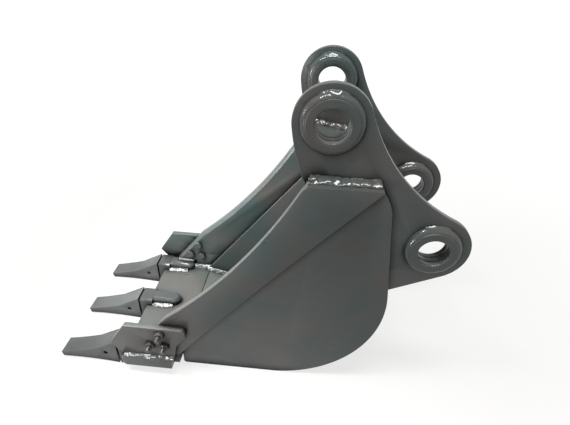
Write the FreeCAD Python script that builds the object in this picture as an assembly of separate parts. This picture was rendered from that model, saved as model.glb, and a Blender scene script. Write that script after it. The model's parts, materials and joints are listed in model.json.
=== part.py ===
import FreeCAD, Part
import math
import os

# Trenching bucket for a small excavator, in millimetres.
# Origin: middle of the arm pin axis, halfway between the two hanger plates.
# X: the teeth point to -X.  Y: along both pins.  Z: up, with the bucket standing on its bottom edges.

os.makedirs("parts", exist_ok=True)

# Pin bosses
bore_r = 25.0
collar_r = 40.0
collar_edge = 1.6
pin_centres = 275.0
pin_drop_angle = 48.3
gap_between_collars = 190.0
inner_collar_proud = 12.0
outer_collar_proud = 11.0
outer_collar_weld = 7.0
inner_collar_weld = 5.0
collar_weld_hollow = 0.42

# Hanger plates
hanger_t = 12.0
arm_rim_r = 58.0
link_rim_r = 61.5
waist_r = 300.0
front_edge_start_angle = 188.0
front_edge_mid = (-49.5, -51.0)
front_edge_foot = (-37.0, -90.0)
root_inside = (62.0, -262.0)
root_inside_r = 60.0
tail_edge_angle = 26.5

# Bucket shell
heel_centre = (-84.5, -338.5)
heel_r = 213.0
back_lean = 7.0
flat_rear_x = -70.0
floor_rise = 13.0
shell_t = 10.0
back_top = -137.0
shell_top_r = 46.0
shell_front = (-34.0, -83.0)
shell_top_slope = 10.0

# Side panels, side bars and side cutters
panel_t = 9.0
panel_top_drop = 4.0
panel_front_top_x = -20.0
panel_throat = (-9.0, -172.0)
panel_throat_r = 30.0
panel_front_mid = (-146.0, -343.0)
panel_front_low_x = -274.0
panel_back_mid = (95.5, -111.0)
panel_toe_cut = 4.0
bar_t = 18.0
bar_top = -88.0
bar_front_top = (-36.5, -96.5)
bar_front_mid = (-137.0, -251.0)
bar_front_low = (-284.5, -401.0)
bar_corner_x = -28.0
bar_toe_x = -353.0
bar_rear_x = 84.0
bar_blunt = 3.0
bar_low_mid = (-100.0, -300.5)
bar_low_x = -268.0
bar_bevel = 6.0
bar_weld_rise = 9.0
bar_weld_rise_on_bar = 5.6
bar_weld_onto_bar = 7.5
cutter_t = 11.0
cutter_top = -419.0
cutter_top_front_x = -366.0
cutter_rear_x = -245.0
cutter_nose = (-402.0, -472.0)
cutter_foot_front_x = -377.0
cutter_rear_low = (-244.5, -437.0)
cutter_waist = (-266.0, -466.0)
cutter_foot_x = -274.0
cutter_corner_r = 9.0
foot_weld_rise = 9.0
relief_gap = 1.5
relief_past_strap = 4.0

# Lip
lip_front = -383.0
lip_rear = -267.0
lip_top = -505.0
lip_t = 25.0
lip_half_width = 163.0
lip_bevel = 7.0
lip_ear_rear = -280.0

# Teeth and weld-on adapters
tooth_to_cutter = 0.5
tooth_back = -400.5
joint_gap = 2.5
tooth_tip = -527.0
tooth_tip_top = -536.0
tooth_tip_low = -547.2
tooth_rake = 1.5
tooth_back_half = 20.5
tooth_tip_half = 19.0
tooth_top = -488.0
tooth_floor = -550.5
tooth_shoulder = (-434.0, -505.5)
tooth_blade_top = (-455.0, -517.0)
tooth_blade_mid = (-490.0, -527.3)
tooth_hollow = (-450.0, -546.4)
adapter_body_end = -369.0
adapter_body_drop = 2.5
body_edge = 3.0
strap_half = 15.0
strap_high = -486.0
strap_low = -490.0
strap_end = -308.0
strap_edge = 5.0
under_leg_end = -348.0
under_leg_t = 10.0
nose_tip = -456.0
nose_root_half = 14.0
nose_tip_half = 11.5
nose_root_z = (-500.0, -537.0)
nose_tip_z = (-524.0, -538.0)
socket_clear = 0.3
tooth_pin_r = 4.5
tooth_pin_x = -427.5
tooth_pin_z = -522.0
tooth_pin_inset = 3.5
adapter_weld = 6.0

# Side cutter bolts, M10
bolt_r = 5.0
bolt_clear = 0.3
bolt_head_af = 16.0
bolt_head_t = 6.4
nut_t = 8.0
stud_past_nut = 11.0
bolt_places = [(-295.0, -434.0), (-317.0, -464.0), (-288.5, -466.0)]

# How far a drill runs past the faces of what it goes through
drill_past = 1.0

# Worked-out places
hanger_in = gap_between_collars / 2 + inner_collar_proud
hanger_out = hanger_in + hanger_t
panel_out = hanger_out + panel_t
bar_out = panel_out + bar_t
cutter_out = bar_out + cutter_t
collar_out = hanger_out + outer_collar_proud
collar_in = gap_between_collars / 2
drop = math.radians(pin_drop_angle)
arm_pin = (0.0, 0.0)
link_pin = (pin_centres * math.cos(drop), -pin_centres * math.sin(drop))
lip_bottom = lip_top - lip_t
ground = heel_centre[1] - heel_r
relief_z = strap_high + relief_gap
relief_end_x = strap_end + relief_past_strap
tooth_pitch = bar_out - tooth_back_half - tooth_to_cutter
shoulder_x = tooth_back + joint_gap


def vec(x, y, z):
    return FreeCAD.Vector(x, y, z)


def polar(centre, radius, degrees):
    a = math.radians(degrees)
    return (centre[0] + radius * math.cos(a), centre[1] + radius * math.sin(a))


def between(a, b, share):
    return (a[0] + (b[0] - a[0]) * share, a[1] + (b[1] - a[1]) * share)


def distance(a, b):
    return math.hypot(b[0] - a[0], b[1] - a[1])


def circle_crossing(c1, r1, c2, r2):
    """The crossing of two circles that lies to the left of the way from c1 to c2."""
    d = distance(c1, c2)
    along = (r1 * r1 - r2 * r2 + d * d) / (2 * d)
    off = math.sqrt(r1 * r1 - along * along)
    ux = (c2[0] - c1[0]) / d
    uz = (c2[1] - c1[1]) / d
    return (c1[0] + ux * along - uz * off, c1[1] + uz * along + ux * off)


def line_crossing(p, p_angle, q, q_angle):
    """The crossing of two lines, each given by a point and its slope in degrees."""
    a = math.radians(p_angle)
    b = math.radians(q_angle)
    dx = q[0] - p[0]
    dz = q[1] - p[1]
    s = (dx * math.sin(b) - dz * math.cos(b)) / math.sin(b - a)
    return (p[0] + s * math.cos(a), p[1] + s * math.sin(a))


class Outline:
    """A closed outline in a plane across Y, made of straight lines and arcs."""

    def __init__(self, start):
        self.first = start
        self.at = start
        self.edges = []

    def line(self, point):
        run = Part.LineSegment(vec(self.at[0], 0, self.at[1]), vec(point[0], 0, point[1]))
        self.edges.append(run.toShape())
        self.at = point
        return self

    def arc(self, middle, point):
        via = vec(middle[0], 0, middle[1])
        curve = Part.Arc(vec(self.at[0], 0, self.at[1]), via, vec(point[0], 0, point[1]))
        self.edges.append(curve.toShape())
        self.at = point
        return self

    def plate(self, y_low, y_high):
        """The plate between two places on Y."""
        if distance(self.at, self.first) > 0.001:
            self.line(self.first)
        face = Part.Face(Part.Wire(self.edges))
        face.translate(vec(0, y_low, 0))
        return face.extrude(vec(0, y_high - y_low, 0))


def polygon(points):
    shape = Outline(points[0])
    for p in points[1:]:
        shape.line(p)
    return shape


def flat_plate(points, z_low, z_high):
    """A level plate from an outline of (x, y) points."""
    ring = [vec(x, y, z_low) for x, y in points]
    ring.append(ring[0])
    return Part.Face(Part.makePolygon(ring)).extrude(vec(0, 0, z_high - z_low))


def rod(radius, x, z, y_low, y_high):
    return Part.makeCylinder(radius, y_high - y_low, vec(x, y_low, z), vec(0, 1, 0))


def round_corners(solid, places, radius):
    """Rounds the edges along Y that stand at the given (x, z) places."""
    chosen = []
    for edge in solid.Edges:
        a = edge.Vertexes[0].Point
        b = edge.Vertexes[-1].Point
        if abs(a.x - b.x) > 0.01 or abs(a.z - b.z) > 0.01:
            continue
        if any(distance((a.x, a.z), place) < 0.05 for place in places):
            chosen.append(edge)
    return solid.makeFillet(radius, chosen)


def mirrored(solid):
    """The same piece on the other side of the bucket."""
    return solid.mirror(vec(0, 0, 0), vec(0, 1, 0))


def group(solids):
    return Part.makeCompound(solids)


def save(name, shape):
    shape.exportStep("parts/" + name + ".step")


def both_sides(name, solid):
    """Saves a piece modelled on the +Y side, and its mirror image."""
    save(name + "_right", solid)
    save(name + "_left", mirrored(solid))


# Points shared by the hanger plates, the panels and the shell
arm_rim_front = polar(arm_pin, arm_rim_r, front_edge_start_angle)
waist_centre = circle_crossing(arm_pin, arm_rim_r + waist_r, link_pin, link_rim_r + waist_r)
waist_top = between(arm_pin, waist_centre, arm_rim_r / (arm_rim_r + waist_r))
waist_low = between(link_pin, waist_centre, link_rim_r / (link_rim_r + waist_r))
waist_chord = between(waist_top, waist_low, 0.5)
waist_mid = between(waist_centre, waist_chord, waist_r / distance(waist_centre, waist_chord))
tail_touch = polar(link_pin, link_rim_r, tail_edge_angle - 90)
heel_back = polar(heel_centre, heel_r, back_lean)
heel_floor = polar(heel_centre, heel_r, 270 - floor_rise)
back_upper = line_crossing(heel_back, 90 + back_lean, (0, back_top), 0)
tail_root = line_crossing(tail_touch, tail_edge_angle, heel_back, 90 + back_lean)
floor_front = line_crossing(heel_floor, 180 - floor_rise, (lip_rear, 0), 90)
lip_seat = (lip_rear, lip_top)


def hanger_plate():
    """Two round rims, a hollow edge between them, and a root that reaches into the bucket."""
    outline = Outline(arm_rim_front)
    outline.arc(front_edge_mid, front_edge_foot)
    outline.line(root_inside)
    outline.line(tail_root)
    outline.line(tail_touch)
    outline.arc(polar(link_pin, link_rim_r, 0), waist_low)
    outline.arc(waist_mid, waist_top)
    outline.arc(polar(arm_pin, arm_rim_r, 100), arm_rim_front)
    plate = outline.plate(hanger_in, hanger_out)
    plate = round_corners(plate, [root_inside], root_inside_r)
    for pin in (arm_pin, link_pin):
        plate = plate.cut(rod(bore_r, pin[0], pin[1], hanger_in - drill_past, hanger_out + drill_past))
    return plate


def collar(pin, y_wall, y_face):
    """A turned ring welded to a hanger plate, its outer edges broken on the free face."""
    low = min(y_wall, y_face)
    high = max(y_wall, y_face)
    ring = rod(collar_r, pin[0], pin[1], low, high)
    ring = ring.cut(rod(bore_r, pin[0], pin[1], low - drill_past, high + drill_past))
    edges = []
    for edge in ring.Edges:
        box = edge.BoundBox
        if abs(box.YMin - y_face) < 0.01 and abs(box.YMax - y_face) < 0.01:
            edges.append(edge)
    return ring.makeChamfer(collar_edge, edges)


def collar_weld(pin, y_wall, leg, outward):
    """The fillet weld round a collar, slightly hollow, in the corner between ring and plate."""
    tip = leg * outward
    root = vec(collar_r, y_wall, 0)
    on_plate = vec(collar_r + leg, y_wall, 0)
    on_ring = vec(collar_r, y_wall + tip, 0)
    face_mid = vec(collar_r + leg * collar_weld_hollow, y_wall + tip * collar_weld_hollow, 0)
    edges = [Part.LineSegment(root, on_plate).toShape(), Part.Arc(on_plate, face_mid, on_ring).toShape(),
             Part.LineSegment(on_ring, root).toShape()]
    ring = Part.Face(Part.Wire(edges)).revolve(vec(0, 0, 0), vec(0, 1, 0), 360)
    ring.translate(vec(pin[0], 0, pin[1]))
    return ring


def shell():
    """The bent plate that makes top, back, heel and floor: between the panels, notched for the hangers."""
    inner = heel_r - shell_t
    slope = -shell_top_slope
    top_corner = line_crossing(shell_front, slope, heel_back, 90 + back_lean)
    turn = 90 - back_lean - shell_top_slope
    reach = shell_top_r * math.tan(math.radians(turn) / 2)
    top_end = between(top_corner, shell_front, reach / distance(top_corner, shell_front))
    back_end = between(top_corner, heel_back, reach / distance(top_corner, heel_back))
    centre = (top_end[0] - shell_top_r * math.sin(math.radians(shell_top_slope)),
              top_end[1] - shell_top_r * math.cos(math.radians(shell_top_slope)))
    mid_angle = (90 - shell_top_slope + back_lean) / 2
    a = math.radians(shell_top_slope)
    b = math.radians(floor_rise)
    outline = Outline(shell_front)
    outline.line(top_end)
    outline.arc(polar(centre, shell_top_r, mid_angle), back_end)
    outline.line(heel_back)
    outline.arc(polar(heel_centre, heel_r, 315), heel_floor)
    outline.line(floor_front)
    outline.line((lip_rear, floor_front[1] + shell_t / math.cos(b)))
    outline.line(polar(heel_centre, inner, 270 - floor_rise))
    outline.arc(polar(heel_centre, inner, 315), polar(heel_centre, inner, back_lean))
    outline.line(polar(centre, shell_top_r - shell_t, back_lean))
    top_inner = polar(centre, shell_top_r - shell_t, 90 - shell_top_slope)
    outline.arc(polar(centre, shell_top_r - shell_t, mid_angle), top_inner)
    outline.line((shell_front[0] - shell_t * math.sin(a), shell_front[1] - shell_t * math.cos(a)))
    plate = outline.plate(-hanger_out, hanger_out)
    root = hanger_plate()
    return plate.cut(root).cut(mirrored(root))


def side_panel():
    """The outer side plate, from the bar down to the bottom edge that the bucket stands on."""
    panel_top = bar_top - panel_top_drop
    top_rear = (bar_rear_x - bar_blunt, panel_top)
    outline = Outline((panel_front_top_x, panel_top))
    outline.line(panel_throat)
    outline.arc(panel_front_mid, (panel_front_low_x, lip_top))
    outline.line(lip_seat)
    outline.line((lip_rear, ground + panel_toe_cut))
    outline.line((lip_rear + panel_toe_cut, ground))
    outline.line((flat_rear_x, ground))
    outline.arc(polar(heel_centre, heel_r, 315), heel_back)
    outline.line(back_upper)
    outline.arc(panel_back_mid, top_rear)
    plate = outline.plate(hanger_out, panel_out)
    return round_corners(plate, [panel_throat], panel_throat_r)


def side_bar():
    """The thick bar along the mouth: a hollow front edge, a bevel inside it, and a toe over the adapter."""
    outline = Outline((bar_corner_x, bar_top))
    outline.line(bar_front_top)
    outline.arc(bar_front_mid, bar_front_low)
    outline.line((bar_toe_x, relief_z))
    outline.line((relief_end_x, relief_z))
    outline.line((relief_end_x, lip_top))
    outline.line((bar_low_x, lip_top))
    outline.arc(bar_low_mid, (bar_rear_x, bar_top - bar_blunt))
    outline.line((bar_rear_x, bar_top))
    plate = outline.plate(panel_out, bar_out)
    inner_front = []
    for edge in plate.Edges:
        box = edge.BoundBox
        on_inner_face = abs(box.YMin - panel_out) < 0.01 and abs(box.YMax - panel_out) < 0.01
        on_front = abs(box.XMin - bar_front_low[0]) < 0.1 and abs(box.XMax - bar_front_top[0]) < 0.1
        on_toe = abs(box.XMin - bar_toe_x) < 0.1 and abs(box.XMax - bar_front_low[0]) < 0.1
        if on_inner_face and (on_front or on_toe):
            inner_front.append(edge)
    return plate.makeChamfer(bar_bevel, inner_front)


def bolt_holes(plate, y_low, y_high):
    for x, z in bolt_places:
        plate = plate.cut(rod(bolt_r + bolt_clear, x, z, y_low - drill_past, y_high + drill_past))
    return plate


def side_cutter():
    """The bolt-on cutter: a pointed nose in front of the bar, and a foot on the lip."""
    outline = Outline((cutter_top_front_x, cutter_top))
    outline.line((cutter_rear_x, cutter_top))
    outline.line(cutter_rear_low)
    outline.line(cutter_waist)
    outline.line((cutter_foot_x, lip_top))
    outline.line((cutter_foot_front_x, lip_top))
    outline.line(cutter_nose)
    plate = outline.plate(bar_out, cutter_out)
    plate = round_corners(plate, [(cutter_rear_x, cutter_top)], cutter_corner_r)
    return bolt_holes(plate, bar_out, cutter_out)


def hexagon(af, x, z, y_low, y_high):
    corner = af / math.sqrt(3)
    points = [polar((x, z), corner, 60 * i + 30) for i in range(6)]
    return polygon(points).plate(y_low, y_high)


def cutter_bolt(x, z):
    """Hexagon head inside the bucket, shank out through bar, cutter and nut."""
    head = hexagon(bolt_head_af, x, z, panel_out - bolt_head_t, panel_out)
    shank = rod(bolt_r, x, z, panel_out, cutter_out + nut_t + stud_past_nut)
    return head.fuse(shank).removeSplitter()


def cutter_nut(x, z):
    nut = hexagon(bolt_head_af, x, z, cutter_out, cutter_out + nut_t)
    return nut.cut(rod(bolt_r, x, z, cutter_out - drill_past, cutter_out + nut_t + drill_past))


def lip():
    """The cutting edge plate, bevelled under its front edge, with an ear outside each side bar."""
    section = [(lip_front, lip_top), (lip_rear, lip_top), (lip_rear, lip_bottom),
               (lip_front + lip_bevel, lip_bottom), (lip_front, lip_bottom + lip_bevel)]
    plate = polygon(section).plate(-lip_half_width, lip_half_width)
    plan = [(lip_front, -lip_half_width), (lip_ear_rear, -lip_half_width), (lip_ear_rear, -bar_out),
            (lip_rear, -bar_out), (lip_rear, bar_out), (lip_ear_rear, bar_out),
            (lip_ear_rear, lip_half_width), (lip_front, lip_half_width)]
    return plate.common(flat_plate(plan, lip_bottom, lip_top))


def nose(grow):
    """The adapter's nose, or with grow the socket that takes it."""
    sections = []
    ends = ((shoulder_x, nose_root_half, nose_root_z), (nose_tip - grow, nose_tip_half, nose_tip_z))
    for x, half, zs in ends:
        y = half + grow
        top = zs[0] + grow
        low = zs[1] - grow
        ring = [vec(x, -y, low), vec(x, y, low), vec(x, y, top), vec(x, -y, top), vec(x, -y, low)]
        sections.append(Part.makePolygon(ring))
    return Part.makeLoft(sections, True, True)


def adapter():
    """Weld-on adapter: body in front of the lip, strap on top of it, leg under it, nose for the tooth."""
    body_top = strap_high - adapter_body_drop
    leg_low = lip_bottom - under_leg_t
    body = [(shoulder_x, tooth_top), (adapter_body_end, body_top), (adapter_body_end, lip_top),
            (lip_front, lip_top), (lip_front, lip_bottom + lip_bevel), (lip_front + lip_bevel, lip_bottom),
            (adapter_body_end, lip_bottom), (adapter_body_end, leg_low), (shoulder_x, tooth_floor)]
    solid = polygon(body).plate(-tooth_back_half, tooth_back_half)
    top_edges = []
    for edge in solid.Edges:
        box = edge.BoundBox
        if box.ZMin > lip_top + body_edge and box.XLength > body_edge:
            top_edges.append(edge)
    solid = solid.makeChamfer(body_edge, top_edges)
    strap = polygon([(adapter_body_end, strap_high), (strap_end, strap_low), (strap_end, lip_top),
                     (adapter_body_end, lip_top)]).plate(-strap_half, strap_half)
    end_x = strap_end - strap_half
    plan = flat_plate([(adapter_body_end, -strap_half), (end_x, -strap_half), (end_x, strap_half),
                       (adapter_body_end, strap_half)], lip_top, strap_high)
    plan = plan.fuse(Part.makeCylinder(strap_half, strap_high - lip_top, vec(end_x, 0, lip_top)))
    strap = strap.common(plan)
    strap_edges = []
    for edge in strap.Edges:
        box = edge.BoundBox
        if box.ZMin > (strap_low + lip_top) / 2 and box.XLength > strap_half / 2:
            strap_edges.append(edge)
    strap = strap.makeChamfer(strap_edge, strap_edges)
    leg = polygon([(adapter_body_end, lip_bottom), (under_leg_end, lip_bottom),
                   (under_leg_end, lip_bottom - under_leg_t / 2), (adapter_body_end, leg_low)])
    solid = solid.fuse([strap, leg.plate(-strap_half, strap_half), nose(0.0)]).removeSplitter()
    return solid.cut(rod(tooth_pin_r, tooth_pin_x, tooth_pin_z, -tooth_back_half, tooth_back_half))


def tooth():
    """Pointed cap: flat underside, a blade that thickens in a curve to the socket, sides that taper."""
    outline = Outline((tooth_back, tooth_top))
    outline.line((tooth_back, tooth_floor))
    outline.arc(tooth_hollow, (tooth_tip + tooth_rake, tooth_tip_low))
    outline.line((tooth_tip - tooth_rake, tooth_tip_top))
    outline.arc(tooth_blade_mid, tooth_blade_top)
    outline.line(tooth_shoulder)
    solid = outline.plate(-tooth_back_half, tooth_back_half)
    end = tooth_tip - tooth_rake
    plan = [(tooth_back, -tooth_back_half), (tooth_back, tooth_back_half), (end, tooth_tip_half),
            (end, -tooth_tip_half)]
    solid = solid.common(flat_plate(plan, tooth_floor, tooth_top))
    solid = solid.cut(nose(socket_clear))
    return solid.cut(rod(tooth_pin_r, tooth_pin_x, tooth_pin_z, -tooth_back_half, tooth_back_half))


def tooth_pin():
    reach = tooth_back_half - tooth_pin_inset
    return rod(tooth_pin_r, tooth_pin_x, tooth_pin_z, -reach, reach)


def fillet_strip(corner, leg_y, leg_z, x_low, x_high):
    """A straight weld along X: its corner at (y, z), with its two legs."""
    y, z = corner
    ring = [vec(x_low, y, z), vec(x_low, y + leg_y, z), vec(x_low, y, z + leg_z), vec(x_low, y, z)]
    return Part.Face(Part.makePolygon(ring)).extrude(vec(x_high - x_low, 0, 0))


def bar_top_weld():
    """The heavy weld that joins the top of the bar and the panel to the hanger plate."""
    low = bar_top - panel_top_drop
    ring = [(hanger_out, low), (panel_out, low), (panel_out, bar_top),
            (panel_out + bar_weld_onto_bar, bar_top), (panel_out, bar_top + bar_weld_rise_on_bar),
            (hanger_out, bar_top + bar_weld_rise)]
    points = [vec(bar_corner_x, y, z) for y, z in ring]
    points.append(points[0])
    section = Part.Face(Part.makePolygon(points))
    return section.extrude(vec(bar_rear_x - bar_blunt - bar_corner_x, 0, 0))


def adapter_welds():
    """Welds along both sides of each adapter's strap and body on the lip's top."""
    beads = []
    for i in (-1, 0, 1):
        for side in (-1, 1):
            y = i * tooth_pitch + side * strap_half
            beads.append(fillet_strip((y, lip_top), side * adapter_weld, adapter_weld,
                                      adapter_body_end, strap_end - strap_half))
    return group(beads)


def foot_weld():
    """The weld between the cutter's foot and the lip's top, outside the bucket."""
    leg = lip_half_width - cutter_out
    return fillet_strip((cutter_out, lip_top), leg, foot_weld_rise, cutter_foot_front_x, cutter_foot_x)


def build():
    both_sides("hanger_plate", hanger_plate())
    for name, pin in (("arm", arm_pin), ("link", link_pin)):
        both_sides(name + "_collar_outer", collar(pin, hanger_out, collar_out))
        both_sides(name + "_collar_inner", collar(pin, hanger_in, collar_in))
        outer = collar_weld(pin, hanger_out, outer_collar_weld, 1)
        inner = collar_weld(pin, hanger_in, inner_collar_weld, -1)
        save(name + "_collar_welds", group([outer, inner, mirrored(outer), mirrored(inner)]))
    save("shell", shell())
    both_sides("side_panel", side_panel())
    both_sides("side_bar", bolt_holes(side_bar(), panel_out, bar_out))
    both_sides("side_cutter", side_cutter())
    both_sides("cutter_bolts", group([cutter_bolt(x, z) for x, z in bolt_places]))
    both_sides("cutter_nuts", group([cutter_nut(x, z) for x, z in bolt_places]))
    save("lip", lip())
    for i, place in ((-1, "left"), (0, "middle"), (1, "right")):
        for name, piece in (("adapter", adapter()), ("tooth", tooth()), ("tooth_pin", tooth_pin())):
            piece.translate(vec(0, i * tooth_pitch, 0))
            save(name + "_" + place, piece)
    bead = bar_top_weld()
    save("bar_top_welds", group([bead, mirrored(bead)]))
    save("adapter_welds", adapter_welds())
    foot = foot_weld()
    save("cutter_foot_welds", group([foot, mirrored(foot)]))


build()
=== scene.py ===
import json
import math

import bmesh
import bpy
from mathutils import Matrix, Vector


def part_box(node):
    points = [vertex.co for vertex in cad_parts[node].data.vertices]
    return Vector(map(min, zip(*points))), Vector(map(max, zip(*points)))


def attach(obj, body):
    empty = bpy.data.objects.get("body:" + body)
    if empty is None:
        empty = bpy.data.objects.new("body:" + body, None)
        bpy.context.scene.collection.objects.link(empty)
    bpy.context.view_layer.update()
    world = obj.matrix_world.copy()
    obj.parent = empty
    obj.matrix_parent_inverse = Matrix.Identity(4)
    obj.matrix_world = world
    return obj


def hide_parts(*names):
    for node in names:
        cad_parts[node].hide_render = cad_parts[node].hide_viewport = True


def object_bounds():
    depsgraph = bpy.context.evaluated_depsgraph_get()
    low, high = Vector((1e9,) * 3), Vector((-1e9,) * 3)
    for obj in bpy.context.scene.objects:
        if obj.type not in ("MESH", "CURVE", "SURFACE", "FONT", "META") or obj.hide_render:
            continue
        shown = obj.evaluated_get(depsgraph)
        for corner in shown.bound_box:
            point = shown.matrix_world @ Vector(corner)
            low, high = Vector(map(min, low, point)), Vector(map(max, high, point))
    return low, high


bl_info = {
    "name": "Trenching bucket",
    "version": (1, 0, 0),
    "blender": (4, 5, 0),
    "location": "3D View > Sidebar > Bucket",
    "description": "Eased plates, weld beads, bolts, enamel and a plain studio for a trenching bucket",
    "category": "Add Mesh",
}

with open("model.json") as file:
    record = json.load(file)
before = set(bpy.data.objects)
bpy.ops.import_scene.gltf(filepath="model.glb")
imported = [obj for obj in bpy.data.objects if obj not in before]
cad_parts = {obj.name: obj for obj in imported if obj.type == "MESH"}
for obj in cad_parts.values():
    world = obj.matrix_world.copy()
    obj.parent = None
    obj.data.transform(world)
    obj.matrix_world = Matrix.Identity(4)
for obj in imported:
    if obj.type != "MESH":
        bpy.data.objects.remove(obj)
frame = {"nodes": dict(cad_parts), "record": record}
cad_low, cad_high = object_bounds()

MM = 0.001
SIDES = {"left": -1, "right": 1}
PLACES = ("left", "middle", "right")
PLATE_NODES = ("hanger_plate", "side_panel", "side_bar", "side_cutter")
COLLAR_NODES = ("arm_collar_outer", "arm_collar_inner", "link_collar_outer", "link_collar_inner")


# Places read from the frame

def node_box(name):
    """Lowest and highest corner of a CAD node, in metres."""
    low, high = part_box(name)
    return Vector(low), Vector(high)


def centre_of(name):
    low, high = node_box(name)
    return (low + high) / 2


# Colours and node trees

def srgb(code):
    """A hex colour as linear red, green, blue and full alpha."""
    values = []
    for start in (1, 3, 5):
        part = int(code[start:start + 2], 16) / 255
        values.append(part / 12.92 if part <= 0.04045 else ((part + 0.055) / 1.055) ** 2.4)
    return (*values, 1.0)


def add_node(tree, kind, settings=None, links=None):
    """Adds one node. settings go to its properties or unlinked inputs, links join outputs to its inputs."""
    node = tree.nodes.new(kind)
    for key, value in (settings or {}).items():
        if isinstance(key, str) and hasattr(node, key):
            setattr(node, key, value)
        else:
            node.inputs[key].default_value = value
    for key, source in (links or {}).items():
        tree.links.new(source, node.inputs[key])
    return node


def new_material(name):
    material = bpy.data.materials.new(name)
    material.use_nodes = True
    material.node_tree.nodes.clear()
    return material


# How the enamel and its dust lie, and the painted shade in its crevices

COAT_PATCH = 110 * MM
GLOSS_PATCH = 35 * MM
DUST_PATCH = 40 * MM
DUST_ON_TOPS = 0.2
DUST_ON_WALLS = 0.12
DUST_ON_DIGGING_WALLS = 0.8
DIGGING_WALLS_FROM = -200 * MM
DIGGING_WALLS_TO = -380 * MM
COAT_IOR = 1.5
COAT_SHEEN = 0.5
# Specular level where the painted shade is full: reflections are dulled in crevices as if shaded.
SHEEN_IN_PAINTED_SHADE = 0.05

MATERIALS = {}


def enamel(name, coats, roughness, peel_mm, peel_depth_mm, crevice_mm=24.0):
    """Air-dried enamel sprayed over steel. coats are its thick and thin colour, its dust and the near-black colour
    of its painted shade.

    The eye sees a dark coat whose colour drifts a little where it lies thicker, a gloss broken by orange
    peel, pale yard dust on the faces that look up and on the digging end, and painted shade in every crevice,
    where ambient occlusion darkens the colour to near black and dulls the gloss as a contact shadow would.
    """
    thick, thin, dust, painted_shade_colour = (tuple(colour) for colour in coats)
    material = new_material(name)
    tree = material.node_tree
    coordinates = add_node(tree, "ShaderNodeTexCoord").outputs
    place = coordinates["Object"]

    drift = add_node(tree, "ShaderNodeTexNoise", {"Scale": 1 / COAT_PATCH, "Detail": 3.0, "Roughness": 0.5},
                     {"Vector": place})
    patches = add_node(tree, "ShaderNodeMapRange", {"From Min": 0.38, "From Max": 0.62},
                       {"Value": drift.outputs["Fac"]})
    tint = add_node(tree, "ShaderNodeMix", {"data_type": "RGBA", 6: thick, 7: thin},
                    {0: patches.outputs["Result"]})

    where = add_node(tree, "ShaderNodeSeparateXYZ", None, {"Vector": place})
    digging = add_node(tree, "ShaderNodeMapRange",
                       {"From Min": DIGGING_WALLS_FROM, "From Max": DIGGING_WALLS_TO,
                        "To Min": DUST_ON_WALLS, "To Max": DUST_ON_DIGGING_WALLS},
                       {"Value": where.outputs["X"]})
    slope = add_node(tree, "ShaderNodeSeparateXYZ", None, {"Vector": coordinates["Normal"]})
    level = add_node(tree, "ShaderNodeMapRange", {"From Min": 0.1, "From Max": 0.85, "To Max": 1.0},
                     {"Value": slope.outputs["Z"], "To Min": digging.outputs["Result"]})
    lying = add_node(tree, "ShaderNodeMath", {"operation": "MULTIPLY", 0: DUST_ON_TOPS},
                     {1: level.outputs["Result"]})
    settled = add_node(tree, "ShaderNodeTexNoise", {"Scale": 1 / DUST_PATCH, "Detail": 5.0, "Roughness": 0.6},
                       {"Vector": place})
    film = add_node(tree, "ShaderNodeMapRange", {"From Min": 0.2, "From Max": 0.7, "To Min": 0.55},
                    {"Value": settled.outputs["Fac"]})
    cover = add_node(tree, "ShaderNodeMath", {"operation": "MULTIPLY"},
                     {0: lying.outputs[0], 1: film.outputs["Result"]})
    dusty = add_node(tree, "ShaderNodeMix", {"data_type": "RGBA", 7: dust},
                     {0: cover.outputs[0], 6: tint.outputs[2]})

    # Painted shade: ambient occlusion within crevice_mm darkens the colour towards near black and dulls the gloss in
    # corners, crevices and under edges, a contact shadow painted into the colour.
    corner = add_node(tree, "ShaderNodeAmbientOcclusion", {"samples": 8, "Distance": crevice_mm * MM})
    painted_shade_amount = add_node(tree, "ShaderNodeMapRange",
                      {"From Min": 0.42, "From Max": 0.96, "To Min": 1.0, "To Max": 0.0},
                      {"Value": corner.outputs["AO"]})
    coat = add_node(tree, "ShaderNodeMix", {"data_type": "RGBA", 7: painted_shade_colour},
                    {0: painted_shade_amount.outputs["Result"], 6: dusty.outputs[2]})
    sheen_under_painted_shade = add_node(tree, "ShaderNodeMapRange",
                     {"From Min": 0.0, "From Max": 1.0, "To Min": COAT_SHEEN, "To Max": SHEEN_IN_PAINTED_SHADE},
                     {"Value": painted_shade_amount.outputs["Result"]})

    gloss = add_node(tree, "ShaderNodeTexNoise", {"Scale": 1 / GLOSS_PATCH, "Detail": 4.0, "Roughness": 0.6},
                     {"Vector": place})
    rough = add_node(tree, "ShaderNodeMapRange",
                     {"From Min": 0.3, "From Max": 0.7, "To Min": roughness - 0.05, "To Max": roughness + 0.09},
                     {"Value": gloss.outputs["Fac"]})
    peel = add_node(tree, "ShaderNodeTexNoise", {"Scale": 1 / (peel_mm * MM), "Detail": 2.0}, {"Vector": place})
    bump = add_node(tree, "ShaderNodeBump", {"Strength": 1.0, "Distance": peel_depth_mm * MM},
                    {"Height": peel.outputs["Fac"]})
    shader = add_node(tree, "ShaderNodeBsdfPrincipled", {"IOR": COAT_IOR},
                      {"Base Color": coat.outputs[2], "Roughness": rough.outputs["Result"],
                       "Specular IOR Level": sheen_under_painted_shade.outputs["Result"], "Normal": bump.outputs["Normal"]})
    add_node(tree, "ShaderNodeOutputMaterial", None, {"Surface": shader.outputs["BSDF"]})
    return material


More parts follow.
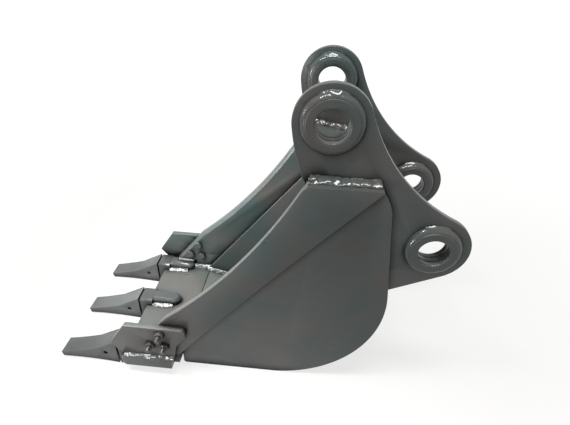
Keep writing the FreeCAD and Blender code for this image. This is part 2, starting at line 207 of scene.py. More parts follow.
def make_materials(colours):
    """One enamel for each finish: smoother on welds and forgings, with the coarsest peel depth on castings."""
    plate = (colours.coat, colours.coat_thin, colours.dust, colours.painted_shade_colour)
    forging = (colours.forging, colours.coat, colours.casting, colours.painted_shade_colour)
    casting = (colours.casting, colours.forging, colours.dust, colours.painted_shade_colour)
    MATERIALS["enamel"] = enamel("dark grey enamel on plate", plate, 0.32, 6.0, 0.05)
    MATERIALS["weld"] = enamel("dark grey enamel on weld", plate, 0.13, 5.0, 0.03, crevice_mm=3.0)
    MATERIALS["adapter_enamel"] = enamel("dark grey enamel on forging", forging, 0.16, 5.0, 0.04)
    MATERIALS["tooth_enamel"] = enamel("dark grey enamel on casting", casting, 0.36, 4.0, 0.14)
    MATERIALS["pin_steel"] = enamel("dark grey enamel on pin", casting, 0.2, 3.0, 0.05)
    MATERIALS["fastener"] = enamel("dark grey enamel on bolt", plate, 0.2, 3.0, 0.05)


# Meshes

SAME_POINT = 0.002 * MM
FLAT_WITHIN = math.radians(0.4)
HARD_EDGE = math.radians(38)
REAR_FACE_DEPTH = 1 * MM


def new_object(name, data):
    """An object at the origin, linked to the scene."""
    holder = bpy.data.objects.new(name, data)
    bpy.context.scene.collection.objects.link(holder)
    return holder


def joined_triangles(node_name):
    """A CAD node's triangles, which come loose, with their shared corners made one."""
    work = bmesh.new()
    work.from_mesh(frame["nodes"][node_name].data)
    bmesh.ops.remove_doubles(work, verts=work.verts, dist=SAME_POINT)
    return work


def clean_copy(node_name, name):
    """A copy of a CAD node whose flat faces are whole."""
    work = joined_triangles(node_name)
    bmesh.ops.dissolve_limit(work, angle_limit=FLAT_WITHIN, verts=work.verts, edges=work.edges)
    mesh = bpy.data.meshes.new(name)
    work.to_mesh(mesh)
    work.free()
    return new_object(name, mesh)


def ease_edges(piece, width):
    """Rounds every hard edge by a small real radius and keeps the flat faces flat."""
    bevel = piece.modifiers.new("eased edges", "BEVEL")
    bevel.width = width
    bevel.segments = 2
    bevel.limit_method = "ANGLE"
    bevel.angle_limit = HARD_EDGE
    bevel.use_clamp_overlap = True
    bevel.harden_normals = True
    bevel.miter_outer = "MITER_ARC"
    piece.data.shade_smooth()
    bpy.context.view_layer.update()
    finished = bpy.data.meshes.new_from_object(piece.evaluated_get(bpy.context.evaluated_depsgraph_get()))
    piece.modifiers.clear()
    old = piece.data
    piece.data = finished
    bpy.data.meshes.remove(old)


def keep_piece(piece, slot, *nodes):
    """Paints a finished piece, hides the CAD nodes it stands for and hangs it under the root body."""
    piece.data.materials.clear()
    piece.data.materials.append(MATERIALS[slot])
    if nodes:
        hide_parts(*nodes)
    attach(piece, "root")


def eased_piece(node_name, width, slot, rear_gap=0.0):
    """Stands for one CAD node with its edges eased. A rear gap draws its rear face forward to open a seam."""
    piece = clean_copy(node_name, node_name + "_eased")
    rear = max(vertex.co.x for vertex in piece.data.vertices)
    for vertex in piece.data.vertices:
        if vertex.co.x > rear - REAR_FACE_DEPTH:
            vertex.co.x -= rear_gap
    ease_edges(piece, width)
    keep_piece(piece, slot, node_name)


def add_sockets(tree, *inputs):
    """Names a geometry tree's inputs, each with its kind and default, and returns what they give."""
    face = tree.interface
    face.new_socket("Geometry", in_out="INPUT", socket_type="NodeSocketGeometry")
    for name, kind, default in inputs:
        socket = face.new_socket(name, in_out="INPUT", socket_type="NodeSocket" + kind)
        if default is not None:
            socket.default_value = default
    face.new_socket("Geometry", in_out="OUTPUT", socket_type="NodeSocketGeometry")
    return add_node(tree, "NodeGroupInput").outputs


def finish_tree(tree, geometry, material):
    """Ends a geometry tree with real geometry in its material."""
    real = add_node(tree, "GeometryNodeRealizeInstances", None, {"Geometry": geometry})
    painted = add_node(tree, "GeometryNodeSetMaterial", None,
                       {"Geometry": real.outputs["Geometry"], "Material": material})
    add_node(tree, "NodeGroupOutput", None, {"Geometry": painted.outputs["Geometry"]})


def grown(tree, source, name, values):
    """Runs a geometry tree on an object and keeps the result as one plain mesh."""
    modifier = source.modifiers.new("grown", "NODES")
    modifier.node_group = tree
    sockets = {item.name: item.identifier for item in tree.interface.items_tree if item.in_out == "INPUT"}
    for key, value in values.items():
        modifier[sockets[key]] = value
    bpy.context.view_layer.update()
    graph = bpy.context.evaluated_depsgraph_get()
    mesh = bpy.data.meshes.new_from_object(source.evaluated_get(graph), depsgraph=graph)
    mesh.name = name
    bpy.data.objects.remove(source)
    return new_object(name, mesh)


# Weld beads

STEPS_PER_RIPPLE = 4.0
WANDER_SIZE = 11 * MM
WANDER_RIPPLES = 4.0
FILLET_ROOT = 1.2 * MM
FILLET_STEPS = 12
ROUND_STEPS = 16
RING_END = 355
RING_STEPS = 71
CROWN_MIDDLE = 92
CROWN_HALF_WIDTH = 29
CROWN_HALF_STEPS = 12
CROWN_DIVE = 4 * MM


def weld_tree():
    """A bead along a curve: a given section whose skin rises in fine ripples and wanders in lumps."""
    tree = bpy.data.node_groups.new("weld bead", "GeometryNodeTree")
    given = add_sockets(tree, ("Section", "Object", None), ("Ripple", "Float", 3.2 * MM),
                        ("Rise", "Float", 0.3 * MM), ("Unevenness", "Float", 1.4 * MM),
                        ("Lump", "Float", 7 * MM), ("Seed", "Int", None), ("Material", "Material", None))

    step = add_node(tree, "ShaderNodeMath", {"operation": "DIVIDE", 1: STEPS_PER_RIPPLE}, {0: given["Ripple"]})
    fine = add_node(tree, "GeometryNodeResampleCurve", {"mode": "LENGTH"},
                    {"Curve": given["Geometry"], "Length": step.outputs[0]})
    faced = add_node(tree, "GeometryNodeSetCurveNormal", {"mode": "FREE", "Normal": (0, -1, 0)},
                     {"Curve": fine.outputs["Curve"]})
    place = add_node(tree, "GeometryNodeSplineParameter")
    keep = add_node(tree, "GeometryNodeCaptureAttribute", None, {"Geometry": faced.outputs["Curve"]})
    keep.capture_items.new("FLOAT", "Along")
    tree.links.new(place.outputs["Length"], keep.inputs["Along"])
    section = add_node(tree, "GeometryNodeObjectInfo", None, {"Object": given["Section"]})
    skin = add_node(tree, "GeometryNodeCurveToMesh", {"Fill Caps": True},
                    {"Curve": keep.outputs["Geometry"], "Profile Curve": section.outputs["Geometry"]})

    wander = add_node(tree, "ShaderNodeTexNoise",
                      {"noise_dimensions": "4D", "Scale": 1 / WANDER_SIZE, "Detail": 2.0}, {"W": given["Seed"]})
    drift = add_node(tree, "ShaderNodeMath", {"operation": "MULTIPLY", 1: WANDER_RIPPLES},
                     {0: wander.outputs["Fac"]})
    count = add_node(tree, "ShaderNodeMath", {"operation": "DIVIDE"},
                     {0: keep.outputs["Along"], 1: given["Ripple"]})
    phase = add_node(tree, "ShaderNodeMath", {"operation": "ADD"}, {0: count.outputs[0], 1: drift.outputs[0]})
    turn = add_node(tree, "ShaderNodeMath", {"operation": "MULTIPLY", 1: math.pi}, {0: phase.outputs[0]})
    wave = add_node(tree, "ShaderNodeMath", {"operation": "SINE"}, {0: turn.outputs[0]})
    crest = add_node(tree, "ShaderNodeMath", {"operation": "ABSOLUTE"}, {0: wave.outputs[0]})
    ripple = add_node(tree, "ShaderNodeMath", {"operation": "MULTIPLY"}, {0: crest.outputs[0], 1: given["Rise"]})

    grain = add_node(tree, "ShaderNodeMath", {"operation": "DIVIDE", 0: 1.0}, {1: given["Lump"]})
    lump = add_node(tree, "ShaderNodeTexNoise", {"noise_dimensions": "4D", "Detail": 0.0},
                    {"W": given["Seed"], "Scale": grain.outputs[0]})
    centred = add_node(tree, "ShaderNodeMath", {"operation": "SUBTRACT", 1: 0.5}, {0: lump.outputs["Fac"]})
    uneven = add_node(tree, "ShaderNodeMath", {"operation": "MULTIPLY"},
                      {0: centred.outputs[0], 1: given["Unevenness"]})

    height = add_node(tree, "ShaderNodeMath", {"operation": "ADD"}, {0: ripple.outputs[0], 1: uneven.outputs[0]})
    normal = add_node(tree, "GeometryNodeInputNormal")
    offset = add_node(tree, "ShaderNodeVectorMath", {"operation": "SCALE"},
                      {0: normal.outputs["Normal"], "Scale": height.outputs[0]})
    moved = add_node(tree, "GeometryNodeSetPosition", None,
                     {"Geometry": skin.outputs["Mesh"], "Offset": offset.outputs["Vector"]})
    smooth = add_node(tree, "GeometryNodeSetShadeSmooth", None, {"Geometry": moved.outputs["Geometry"]})
    finish_tree(tree, smooth.outputs["Geometry"], given["Material"])
    return tree


def fillet(out, up, roundness):
    """Section of a fillet weld: out from the wall, up along it. Roundness 1 is a full curve and 2 a flat slope."""
    points = [(-FILLET_ROOT, up), (-FILLET_ROOT, -FILLET_ROOT), (out, -FILLET_ROOT)]
    for i in range(FILLET_STEPS + 1):
        angle = math.pi / 2 * i / FILLET_STEPS
        points.append((out * math.cos(angle) ** roundness, up * math.sin(angle) ** roundness))
    return points


def on_circle(radius, i, steps):
    """Point i of a circle in that many steps."""
    angle = 2 * math.pi * i / steps
    return radius * math.cos(angle), radius * math.sin(angle)


def round_bead(radius):
    return [on_circle(radius, i, ROUND_STEPS) for i in range(ROUND_STEPS)]


def curve_object(name, lines):
    """A curve object with one straight-run spline for each line of points, closed or open, that faces +Y or -Y.

    A line runs from rear to front, or round a pin from +X to +Z. One that faces +Y is turned end for end
    and its section half a turn, so that the section's second direction stays upwards or away from the pin.
    """
    data = bpy.data.curves.new(name, "CURVE")
    data.dimensions = "3D"
    for points, closed, facing in lines:
        spline = data.splines.new("POLY")
        spline.points.add(len(points) - 1)
        for target, point in zip(spline.points, points if facing < 0 else reversed(points)):
            target.co = (*point, 1)
            target.tilt = 0 if facing < 0 else math.pi
        spline.use_cyclic_u = closed
    return new_object(name, data)


def on_both_sides(line, y, facing, closed=False):
    """A line of points given for any y, on the left and on the right. Facing 1 looks outwards and -1 inwards."""
    return [(line(side * y), closed, side * facing) for side in SIDES.values()]


def beads(name, lines, section, seed, stands_for=(), **sizes):
    """Weld beads of one section along lines, as one piece that may stand for CAD weld nodes."""
    tree = bpy.data.node_groups.get("weld bead") or weld_tree()
    outline = curve_object(name + " section", [([(x, y, 0) for x, y in section], True, -1)])
    settings = {"Section": outline, "Material": MATERIALS["weld"], "Seed": seed}
    settings.update({key.capitalize(): value for key, value in sizes.items()})
    piece = grown(tree, curve_object(name, lines), name, settings)
    bpy.data.objects.remove(outline)
    keep_piece(piece, "weld", *stands_for)


def arc_points(centre_x, centre_z, radius, start, end, y, steps):
    """Points of an arc in a plane across Y, with its angles in degrees."""
    points = []
    for i in range(steps + 1):
        angle = math.radians(start + (end - start) * i / steps)
        points.append((centre_x + radius * math.cos(angle), y, centre_z + radius * math.sin(angle)))
    return points


def ring_points(centre, y, radius):
    return arc_points(centre.x, centre.z, radius, 0, RING_END, y, RING_STEPS)


def crown_points(centre, y, radius):
    """An arc over a pin that dives at both ends into the ring weld under it."""
    points = []
    for i in range(2 * CROWN_HALF_STEPS + 1):
        along = i / CROWN_HALF_STEPS - 1
        angle = math.radians(CROWN_MIDDLE + CROWN_HALF_WIDTH * along)
        reach = radius - CROWN_DIVE * along ** 6
        points.append((centre.x + reach * math.cos(angle), y, centre.z + reach * math.sin(angle)))
    return points


# Settings a user would change

def size_property(name, description, size_mm):
    return bpy.props.FloatProperty(name=name, description=description, default=size_mm * MM, unit="LENGTH")


def colour_property(name, description, code):
    return bpy.props.FloatVectorProperty(name=name, description=description, default=srgb(code), size=4,
                                         min=0.0, max=1.0, subtype="COLOR")


class BucketSizes(bpy.types.PropertyGroup):
    plate_edge: size_property("Plate edge", "Radius that paint and grinding leave on a plate's edges", 1.1)
    collar_edge: size_property("Collar edge", "Radius that turning leaves on the rims of a collar", 2.0)
    casting_edge: size_property("Casting edge", "Radius on the edges of teeth and adapters", 2.0)
    tooth_joint: size_property("Worn joint", "How much wear has opened the joint behind each tooth", 1.6)
    collar_leg: size_property("Collar weld leg", "How far the weld round a collar reaches over the plate", 7.5)
    collar_lump: size_property("Collar weld lumps", "Lumps where each ring weld ends on its own start", 2.6)
    seam_leg: size_property("Seam weld leg", "Leg of the welds inside, between the sides and the floor", 8.0)
    lip_seam: size_property("Lip seam", "Open seam between lip and floor, which are welded from below", 1.4)


class BucketColours(bpy.types.PropertyGroup):
    coat: colour_property("Coat", "Enamel where it lies thick", "#403F3D")
    coat_thin: colour_property("Thin coat", "Enamel where it lies thin and looks a little green", "#303D3C")
    forging: colour_property("Forging", "Enamel on the adapters", "#383C3D")
    casting: colour_property("Casting", "Enamel on the teeth", "#4F5353")
    dust: colour_property("Dust", "Film of dry soil", "#7C7B75")
    # Near-black colour of the painted shade that ambient occlusion mixes into corners and crevices, standing in for
    # contact shadow.
    painted_shade_colour: colour_property("Dirt", "Old soil and oil packed into crevices", "#121211")


class BUCKET_OT_plates(bpy.types.Operator):
    """Ease and paint the plates, collars and lip"""

    bl_idname = "bucket.plates"
    bl_label = "Plates"

    def execute(self, context):
        sizes = context.scene.bucket_sizes
        for side in SIDES:
            for name in PLATE_NODES:
                eased_piece(name + "_" + side, sizes.plate_edge, "enamel")
            for name in COLLAR_NODES:
                eased_piece(name + "_" + side, sizes.collar_edge, "enamel")
        eased_piece("shell", sizes.plate_edge, "enamel")
        eased_piece("lip", sizes.plate_edge, "enamel", sizes.lip_seam)
        return {"FINISHED"}


class BUCKET_OT_teeth(bpy.types.Operator):
    """Ease and paint the teeth and their adapters"""

    bl_idname = "bucket.teeth"
    bl_label = "Teeth and adapters"

    def execute(self, context):
        sizes = context.scene.bucket_sizes
        for place in PLACES:
            eased_piece("adapter_" + place, sizes.casting_edge, "adapter_enamel")
            eased_piece("tooth_" + place, sizes.casting_edge, "tooth_enamel", sizes.tooth_joint)
        return {"FINISHED"}


COLLAR_PAST_WELD = 1.5 * MM
CROWN_LEG_EXTRA = 2 * MM
RING_SEED = 3
CROWN_SEEDS = {"arm": 21, "link": 22}


class BUCKET_OT_collar_welds(bpy.types.Operator):
    """Run a fillet weld round every collar, with lumps on top where it ends on its own start"""

    bl_idname = "bucket.collar_welds"
    bl_label = "Collar welds"

    def execute(self, context):
        leg = context.scene.bucket_sizes.collar_leg
        lumps = context.scene.bucket_sizes.collar_lump
        for pin, crown_seed in CROWN_SEEDS.items():
            for place, toward in (("outer", 1), ("inner", -1)):
                low, high = node_box(pin + "_collar_" + place + "_right")
                centre = (low + high) / 2
                radius = (high.x - low.x) / 2
                plate = low.y if toward > 0 else high.y
                proud = high.y - low.y - COLLAR_PAST_WELD
                name = pin + "_" + place + "_collar"
                stands_for = (pin + "_collar_welds",) if toward > 0 else ()
                rings = on_both_sides(lambda y: ring_points(centre, y, radius), plate, toward, closed=True)
                beads(name + "_beads", rings, fillet(proud, leg, 1.35), RING_SEED, stands_for,
                      rise=0.15 * MM, unevenness=1.0 * MM, lump=14 * MM)
                crowns = on_both_sides(lambda y: crown_points(centre, y, radius), plate, toward)
                beads(name + "_bead_ends", crowns, fillet(proud, leg + CROWN_LEG_EXTRA, 1.6), crown_seed,
                      rise=0.1 * MM, unevenness=lumps, lump=11 * MM)
        return {"FINISHED"}


# Each blob at the front of a bar's top weld has two ends, given as how far they lie behind the weld's
# front, out from the hanger plate and above the bar.

BAR_WELD_BLOBS = (((12 * MM, 5 * MM, 2 * MM), (1 * MM, 6 * MM, -2 * MM)),
                  ((5 * MM, 12 * MM, -1 * MM), (1 * MM, 11 * MM, -5 * MM)))
BLOB_RADIUS = 6.5 * MM
BAR_WELD_FRONT = 2 * MM
BAR_WELD_SPARE = 2 * MM


class BUCKET_OT_bar_welds(bpy.types.Operator):
    """Fill the corner between each side bar's top and its hanger plate with a heavy, lumpy weld"""

    bl_idname = "bucket.bar_welds"
    bl_label = "Bar welds"

    def execute(self, context):
        low, high = node_box("bar_top_welds")
        plate = node_box("hanger_plate_right")[1].y
        bar_top = node_box("side_bar_right")[1].z
        body = on_both_sides(lambda y: [(high.x, y, bar_top), (low.x + BAR_WELD_FRONT, y, bar_top)], plate, 1)
        blobs = []
        for side in SIDES.values():
            for ends in BAR_WELD_BLOBS:
                blobs.append(([(low.x + behind, side * (plate + out), bar_top + above)
                               for behind, out, above in ends], False, side))
        beads("bar_top_beads", body, fillet(high.y - plate, high.z - bar_top - BAR_WELD_SPARE, 1.4), 11,
              ("bar_top_welds",), rise=0.5 * MM, ripple=5.0 * MM, unevenness=4.5 * MM, lump=9 * MM)
        beads("bar_top_blobs", blobs, round_bead(BLOB_RADIUS), 12,
              rise=0.1 * MM, unevenness=4.0 * MM, lump=10 * MM)
        return {"FINISHED"}


# Where the welds on lip, floor and shell lie

STRAP_WELD_EXTRA = 3 * MM
WELD_SPARE = 1 * MM
LIP_WELD_LENGTH = 42 * MM
LIP_WELD_OVERLAP = 6 * MM
LIP_CORNER = 2 * MM
HEEL_RADIUS = 213 * MM
SHELL_WALL = 10 * MM
FLOOR_ANGLE = 257
BACK_ANGLE = 367
HEEL_STEPS = 40
TOE_WELD_REAR = (42 * MM, -1.5 * MM)
TOE_WELD_FRONT = (4 * MM, 0.5 * MM)
TOE_WELD_RADIUS = 3.8 * MM
SHELL_TOP_REAR = (45 * MM, -96.9 * MM)
SHELL_TOP_FRONT = (-33.5 * MM, -83.1 * MM)


class BUCKET_OT_edge_welds(bpy.types.Operator):
    """Weld adapters and cutters to the lip, and bars, panels and hangers to lip, floor and shell"""

    bl_idname = "bucket.edge_welds"
    bl_label = "Lip, floor and shell welds"

    def execute(self, context):
        leg = context.scene.bucket_sizes.seam_leg
        weld_adapters()
        weld_cutter_feet()
        weld_inner_corners(leg)
        weld_bar_toes()
        weld_shell_top(leg)
        return {"FINISHED"}


def weld_adapters():
    """Beads on the lip along both sides of each adapter's strap."""
    top = node_box("lip")[1].z
    low, high = node_box("adapter_welds")
    strap_leg = high.z - top
    strap_half = high.y - strap_leg - centre_of("adapter_right").y
    straps = []
    for place in PLACES:
        middle = centre_of("adapter_" + place).y
        for side in SIDES.values():
            wall = middle + side * strap_half
            straps.append(([(high.x, wall, top), (low.x, wall, top)], False, side))
    beads("adapter_beads", straps, fillet(strap_leg + STRAP_WELD_EXTRA, strap_leg - WELD_SPARE, 1.5), 21,
          ("adapter_welds",), rise=0.2 * MM, unevenness=2.4 * MM, lump=7 * MM)


def weld_cutter_feet():
    """A bead on the lip along the outside of each cutter's foot."""
    top = node_box("lip")[1].z
    low, high = node_box("cutter_foot_welds")
    cutter = node_box("side_cutter_right")[1].y
    feet = on_both_sides(lambda y: [(high.x, y, top), (low.x, y, top)], cutter, 1)
    beads("cutter_foot_beads", feet, fillet(high.y - cutter, high.z - top - WELD_SPARE, 1.7), 22,
          ("cutter_foot_welds",), rise=0.2 * MM, unevenness=2.6 * MM, lump=9 * MM)


def weld_inner_corners(leg):
    """Beads inside, where the bars stand on the lip and where the panels stand on floor and heel."""
    lip = node_box("lip")[1]
    bar = node_box("side_bar_right")[0].y
    panel = node_box("side_panel_right")[0].y
    inside = []
    for side in SIDES.values():
        inside.append(([(lip.x, side * bar, lip.z), (lip.x - LIP_WELD_LENGTH, side * bar, lip.z)], False, -side))
        inside.append((floor_points(side * panel), False, -side))
    beads("floor_beads", inside, fillet(leg, leg, 1.4), 23, rise=0.4 * MM, unevenness=3.2 * MM, lump=8 * MM)


def floor_points(y):
    """The inner corner between shell and panel, from the hanger's root round the heel and floor to the lip."""
    shell_low, shell_high = node_box("shell")
    lip = node_box("lip")[1]
    heel = arc_points(shell_high.x - HEEL_RADIUS, shell_low.z + HEEL_RADIUS, HEEL_RADIUS - SHELL_WALL,
                      FLOOR_ANGLE, BACK_ANGLE, y, HEEL_STEPS)
    return [*reversed(heel), (lip.x + LIP_CORNER, y, lip.z), (lip.x - LIP_WELD_OVERLAP, y, lip.z)]


def weld_bar_toes():
    """A bead at each bar's toe, above the strap of the adapter that stands inside it."""
    bar = node_box("side_bar_right")[0]
    strap_top = node_box("adapter_right")[1].z
    ends = [(bar.x + behind, strap_top + above) for behind, above in (TOE_WELD_REAR, TOE_WELD_FRONT)]
    toes = on_both_sides(lambda y: [(x, y, z) for x, z in ends], bar.y, -1)
    beads("toe_beads", toes, round_bead(TOE_WELD_RADIUS), 24, rise=0.4 * MM, unevenness=1.6 * MM)


def weld_shell_top(leg):
    """A bead where the shell's top meets the inner face of each hanger plate."""
    hanger = node_box("hanger_plate_right")[0].y
    crown = on_both_sides(lambda y: [(x, y, z) for x, z in (SHELL_TOP_REAR, SHELL_TOP_FRONT)], hanger, -1)
    beads("shell_top_beads", crown, fillet(leg - WELD_SPARE, leg - WELD_SPARE, 1.6), 25,
          ripple=5 * MM, rise=0.6 * MM, unevenness=4.0 * MM, lump=7 * MM)


# Bolts

HEXAGON_FLATS = 16 * MM
HEXAGON_CHAMFER = 1.2 * MM
HEXAGON_RIM_SHARE = 0.96
HEXAGON_STEPS = 24
THREAD_RADIUS = 5 * MM
THREAD_PITCH = 1.5 * MM
THREAD_DEPTH = 0.7 * MM
THREAD_STEPS = 20
CREST_SHARES = (0.15, 0.5, 0.85)
BLUNT_END = 0.4 * MM
SPANNER_TURN = math.radians(25)
FASTENER_SEEDS = {"cutter_bolts_left": 78, "cutter_nuts_left": 79, "cutter_bolts_right": 80, "cutter_nuts_right": 81}


def hexagon_solid(work, low, high):
    """A hexagon along Y between two places, its outer rim chamfered round."""
    corner = HEXAGON_FLATS / math.sqrt(3)
    rim = HEXAGON_FLATS / 2 * HEXAGON_RIM_SHARE
    rings = []
    for y, lift in ((low, 0.0), (high, HEXAGON_CHAMFER)):
        ring = []
        for i in range(HEXAGON_STEPS):
            angle = 2 * math.pi * i / HEXAGON_STEPS
            sector = (angle % (math.pi / 3)) - math.pi / 6
            reach = HEXAGON_FLATS / 2 / math.cos(sector)
            drop = lift * max(0.0, reach - rim) / (corner - rim)
            ring.append(work.verts.new((reach * math.cos(angle), y - math.copysign(drop, high - low),
                                        reach * math.sin(angle))))
        rings.append(ring)
    cap = []
    for i in range(HEXAGON_STEPS):
        x, z = on_circle(rim, i, HEXAGON_STEPS)
        cap.append(work.verts.new((x, high, z)))
    for i in range(HEXAGON_STEPS):
        j = (i + 1) % HEXAGON_STEPS
        work.faces.new((rings[0][i], rings[0][j], rings[1][j], rings[1][i]))
        work.faces.new((rings[1][i], rings[1][j], cap[j], cap[i]))
    work.faces.new(rings[0])
    work.faces.new(cap)


def threaded_rod(work, low, high):
    """A stud with a row of thread crests and a blunt end."""
    root = THREAD_RADIUS - THREAD_DEPTH
    profile = [(0.0, low), (root, low)]
    y = low
    while y + THREAD_PITCH < high:
        for share, radius in zip(CREST_SHARES, (root, THREAD_RADIUS, root)):
            profile.append((radius, y + THREAD_PITCH * share))
        y += THREAD_PITCH
    profile += [(root, high - BLUNT_END), (root - THREAD_DEPTH, high), (0.0, high)]
    rings = []
    for radius, y in profile:
        ring = []
        for i in range(THREAD_STEPS if radius else 1):
            x, z = on_circle(radius, i, THREAD_STEPS)
            ring.append(work.verts.new((x, y, z)))
        rings.append(ring)
    for a, b in zip(rings, rings[1:]):
        for i in range(THREAD_STEPS):
            j = (i + 1) % THREAD_STEPS
            corners = [a[i % len(a)], a[j % len(a)], b[j % len(b)], b[i % len(b)]]
            unique = list(dict.fromkeys(corners))
            if len(unique) > 2:
                work.faces.new(unique)


def flat_faced(name, work):
    """A plain object whose faces are flat and turned outwards."""
    bmesh.ops.recalc_face_normals(work, faces=work.faces)
    mesh = bpy.data.meshes.new(name)
    work.to_mesh(mesh)
    work.free()
    mesh.shade_flat()
    return new_object(name, mesh)


def scatter_tree():
    """Sets one fastener on every point, each turned a little differently, as a spanner leaves them."""
    tree = bpy.data.node_groups.new("set of fasteners", "GeometryNodeTree")
    given = add_sockets(tree, ("Fastener", "Object", None), ("Turn", "Float", SPANNER_TURN),
                        ("Seed", "Int", None), ("Material", "Material", None))
    source = add_node(tree, "GeometryNodeObjectInfo", None, {"Object": given["Fastener"]})
    low = add_node(tree, "ShaderNodeMath", {"operation": "MULTIPLY", 1: -1.0}, {0: given["Turn"]})
    angle = add_node(tree, "FunctionNodeRandomValue", {"data_type": "FLOAT"},
                     {2: low.outputs[0], 3: given["Turn"], "Seed": given["Seed"]})
    about = add_node(tree, "ShaderNodeCombineXYZ", None, {"Y": angle.outputs[1]})
    placed = add_node(tree, "GeometryNodeInstanceOnPoints", None,
                      {"Points": given["Geometry"], "Instance": source.outputs["Geometry"],
                       "Rotation": about.outputs["Vector"]})
    finish_tree(tree, placed.outputs["Instances"], given["Material"])
    return tree


def solid_centres(node_name):
    """The middle of each separate solid of a CAD node, found from its joined triangles."""
    work = joined_triangles(node_name)
    centres = []
    left = set(work.verts)
    while left:
        group = {left.pop()}
        edge = list(group)
        while edge:
            for link in edge.pop().link_edges:
                for vert in link.verts:
                    if vert in left:
                        left.remove(vert)
                        group.add(vert)
                        edge.append(vert)
        xs = [vert.co.x for vert in group]
        zs = [vert.co.z for vert in group]
        centres.append(((min(xs) + max(xs)) / 2, (min(zs) + max(zs)) / 2))
    work.free()
    return sorted(centres)


def fastener_model(node, side):
    """One bolt or nut of a CAD node, along Y at the middle of X and Z."""
    low, high = node_box(node)
    inner = low.y if side > 0 else high.y
    outer = high.y if side > 0 else low.y
    work = bmesh.new()
    if "bolts" in node:
        bar_face = node_box("side_bar_right")[0].y * side
        hexagon_solid(work, bar_face, inner)
        threaded_rod(work, min(bar_face, outer), max(bar_face, outer))
    else:
        hexagon_solid(work, inner, outer)
    return flat_faced("model of " + node, work)


class BUCKET_OT_fasteners(bpy.types.Operator):
    """Set the cutter bolts and nuts"""

    bl_idname = "bucket.fasteners"
    bl_label = "Cutter bolts"

    def execute(self, context):
        tree = scatter_tree()
        for node, seed in FASTENER_SEEDS.items():
            points = bpy.data.meshes.new(node + "_points")
            points.from_pydata([(x, 0, z) for x, z in solid_centres(node)], [], [])
            model = fastener_model(node, SIDES[node.rsplit("_", 1)[1]])
            piece = grown(tree, new_object(node + "_points", points), node + "_set",
                          {"Fastener": model, "Seed": seed, "Material": MATERIALS["fastener"]})
            bpy.data.objects.remove(model)
            keep_piece(piece, "fastener", node)
        return {"FINISHED"}


class BUCKET_OT_rest(bpy.types.Operator):
    """Paint the pieces that keep their CAD shape"""

    bl_idname = "bucket.rest"
    bl_label = "Tooth pins"

    def execute(self, context):
        slots = {row["node"]: row["material_slot"] for row in frame["record"]["subparts"]}
        for name, node in frame["nodes"].items():
            for slot in node.material_slots:
                slot.material = MATERIALS[slots[name]]
        return {"FINISHED"}


class BUCKET_OT_stage(bpy.types.Operator):
    """Set the floor, the lamps, the world and the camera"""

    bl_idname = "bucket.stage"
    bl_label = "Stage"

    def execute(self, context):
        make_floor()
        make_world()
        make_lamps()
        make_camera()
        return {"FINISHED"}


# Stage

FLOOR_HALF = 30.0
FLOOR_COLOUR = (0.21, 0.205, 0.195, 1)
SKY_COLOUR = (0.97, 0.99, 1.0, 1)
WHITE = (1, 1, 1, 1)


def seen_directly(tree):
    """1 where the camera, a reflection or a view through something looks at a surface, and 0 for its light."""
    path = add_node(tree, "ShaderNodeLightPath").outputs
    direct = add_node(tree, "ShaderNodeMath", {"operation": "MAXIMUM"},
                      {0: path["Is Camera Ray"], 1: path["Is Transmission Ray"]})
    seen = add_node(tree, "ShaderNodeMath", {"operation": "MAXIMUM"},
                    {0: direct.outputs[0], 1: path["Is Glossy Ray"]})
    return seen.outputs[0]


def make_floor():
    """A pale floor that reads as white to the eye and in reflections, and keeps the shadow."""
    ground = cad_low.z
    corners = [(-FLOOR_HALF, -FLOOR_HALF, ground), (FLOOR_HALF, -FLOOR_HALF, ground),
               (FLOOR_HALF, FLOOR_HALF, ground), (-FLOOR_HALF, FLOOR_HALF, ground)]
    mesh = bpy.data.meshes.new("floor")
    mesh.from_pydata(corners, [], [(0, 1, 2, 3)])
    floor = new_object("floor", mesh)
    material = new_material("pale floor")
    tree = material.node_tree
    place = add_node(tree, "ShaderNodeTexCoord").outputs["Object"]
    away = add_node(tree, "ShaderNodeVectorMath", {"operation": "LENGTH"}, {0: place})
    glow = add_node(tree, "ShaderNodeMapRange",
                    {"From Min": 0.7, "From Max": 2.2, "To Min": 0.72, "To Max": 1.0},
                    {"Value": away.outputs["Value"]})
    lift = add_node(tree, "ShaderNodeMath", {"operation": "MULTIPLY"},
                    {0: glow.outputs["Result"], 1: seen_directly(tree)})
    matt = add_node(tree, "ShaderNodeBsdfDiffuse", {"Color": FLOOR_COLOUR})
    light = add_node(tree, "ShaderNodeEmission", {"Color": WHITE}, {"Strength": lift.outputs[0]})
    both = add_node(tree, "ShaderNodeAddShader", None, {0: matt.outputs["BSDF"], 1: light.outputs["Emission"]})
    add_node(tree, "ShaderNodeOutputMaterial", None, {"Surface": both.outputs["Shader"]})
    mesh.materials.append(material)


def make_world():
    """Soft light that is strongest from above; white where the camera or a reflection looks past the floor."""
    world = bpy.data.worlds.new("studio")
    bpy.context.scene.world = world
    world.use_nodes = True
    tree = world.node_tree
    tree.nodes.clear()
    way = add_node(tree, "ShaderNodeTexCoord")
    parts = add_node(tree, "ShaderNodeSeparateXYZ", None, {"Vector": way.outputs["Generated"]})
    sky = add_node(tree, "ShaderNodeMapRange", {"From Min": 0.0, "From Max": 0.9, "To Min": 0.12, "To Max": 0.5},
                   {"Value": parts.outputs["Z"]})
    light = add_node(tree, "ShaderNodeBackground", {"Color": SKY_COLOUR}, {"Strength": sky.outputs["Result"]})
    white = add_node(tree, "ShaderNodeBackground", {"Color": WHITE, "Strength": 1.0})
    mix = add_node(tree, "ShaderNodeMixShader", None,
                   {0: seen_directly(tree), 1: light.outputs["Background"], 2: white.outputs["Background"]})
    add_node(tree, "ShaderNodeOutputWorld", None, {"Surface": mix.outputs["Shader"]})


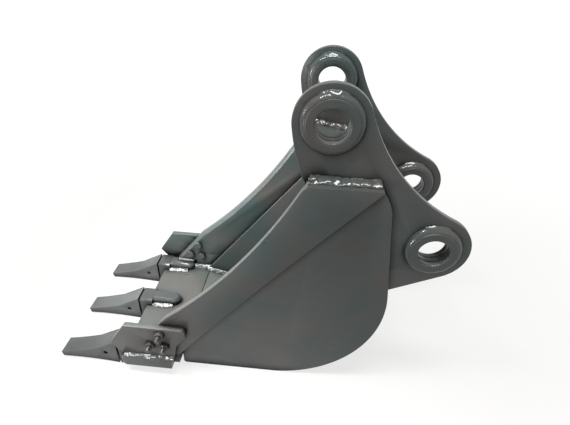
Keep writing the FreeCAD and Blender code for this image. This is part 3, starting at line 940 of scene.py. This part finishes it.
def add_lamp(name, place, aim, size, power, spread=180, depth=None):
    """A soft lamp in metres and watts that points at its aim. Depth is its second width, spread in degrees."""
    data = bpy.data.lights.new(name, "AREA")
    data.shape = "ELLIPSE"
    data.size = size
    data.size_y = depth or size
    data.energy = power
    data.spread = math.radians(spread)
    lamp = new_object(name, data)
    lamp.location = place
    lamp.rotation_euler = (Vector(aim) - Vector(place)).to_track_quat("-Z", "Y").to_euler()
    lamp.visible_camera = False


def make_lamps():
    """Two high lamps for the tops and the weld highlights, one into the mouth and a small one on the teeth."""
    add_lamp("high lamp", place=(0.0, -0.45, 1.9), aim=(0, 0, 0), size=1.2, power=38, depth=0.45)
    add_lamp("left lamp", place=(-1.18, -0.55, 1.9), aim=(-0.3, 0, -0.4), size=0.3, power=14)
    add_lamp("mouth lamp", place=(-0.5, -0.12, 0.02), aim=(-0.15, 0.12, -0.4), size=0.25, power=3.0, spread=100)
    add_lamp("front lamp", place=(-0.61, -0.75, -0.25), aim=(-0.35, -0.1, -0.5), size=0.18, power=2.8)


def make_camera():
    """The photograph's view: 26 mm on a 36 mm sensor, from the left side and a little above."""
    right = Vector((0.99536, 0.09143, 0.02989))
    up = Vector((-0.07539, 0.54844, 0.83279))
    ahead = Vector((-0.05975, 0.83118, -0.55279))
    place = Vector((-22.38, -671.61, 214.49)) * MM
    data = bpy.data.cameras.new("camera")
    data.sensor_width = 36.0
    data.lens = 26.1
    data.clip_start = 0.01
    camera = new_object("camera", data)
    turn = Matrix((right, up, -ahead)).transposed().to_4x4()
    camera.matrix_world = Matrix.Translation(place) @ turn
    bpy.context.scene.camera = camera


class BUCKET_PT_panel(bpy.types.Panel):
    """Lists the sizes, the colours and the steps"""

    bl_idname = "BUCKET_PT_panel"
    bl_label = "Bucket"
    bl_space_type = "VIEW_3D"
    bl_region_type = "UI"
    bl_category = "Bucket"

    def draw(self, context):
        for group in (context.scene.bucket_sizes, context.scene.bucket_colours):
            for name in group.__annotations__:
                self.layout.prop(group, name)
        for step in STEPS:
            self.layout.operator(step.bl_idname)


STEPS = (BUCKET_OT_plates, BUCKET_OT_teeth, BUCKET_OT_collar_welds, BUCKET_OT_bar_welds, BUCKET_OT_edge_welds,
         BUCKET_OT_fasteners, BUCKET_OT_rest, BUCKET_OT_stage)
CLASSES = (BucketSizes, BucketColours, *STEPS, BUCKET_PT_panel)


def register():
    for cls in CLASSES:
        bpy.utils.register_class(cls)
    bpy.types.Scene.bucket_sizes = bpy.props.PointerProperty(type=BucketSizes)
    bpy.types.Scene.bucket_colours = bpy.props.PointerProperty(type=BucketColours)


def unregister():
    del bpy.types.Scene.bucket_colours
    del bpy.types.Scene.bucket_sizes
    for cls in reversed(CLASSES):
        bpy.utils.unregister_class(cls)


def main():
    register()
    bpy.context.scene.view_settings.view_transform = "Standard"
    make_materials(bpy.context.scene.bucket_colours)
    bpy.ops.bucket.plates()
    bpy.ops.bucket.teeth()
    bpy.ops.bucket.collar_welds()
    bpy.ops.bucket.bar_welds()
    bpy.ops.bucket.edge_welds()
    bpy.ops.bucket.fasteners()
    bpy.ops.bucket.rest()
    bpy.ops.bucket.stage()


if __name__ == "__main__":
    main()
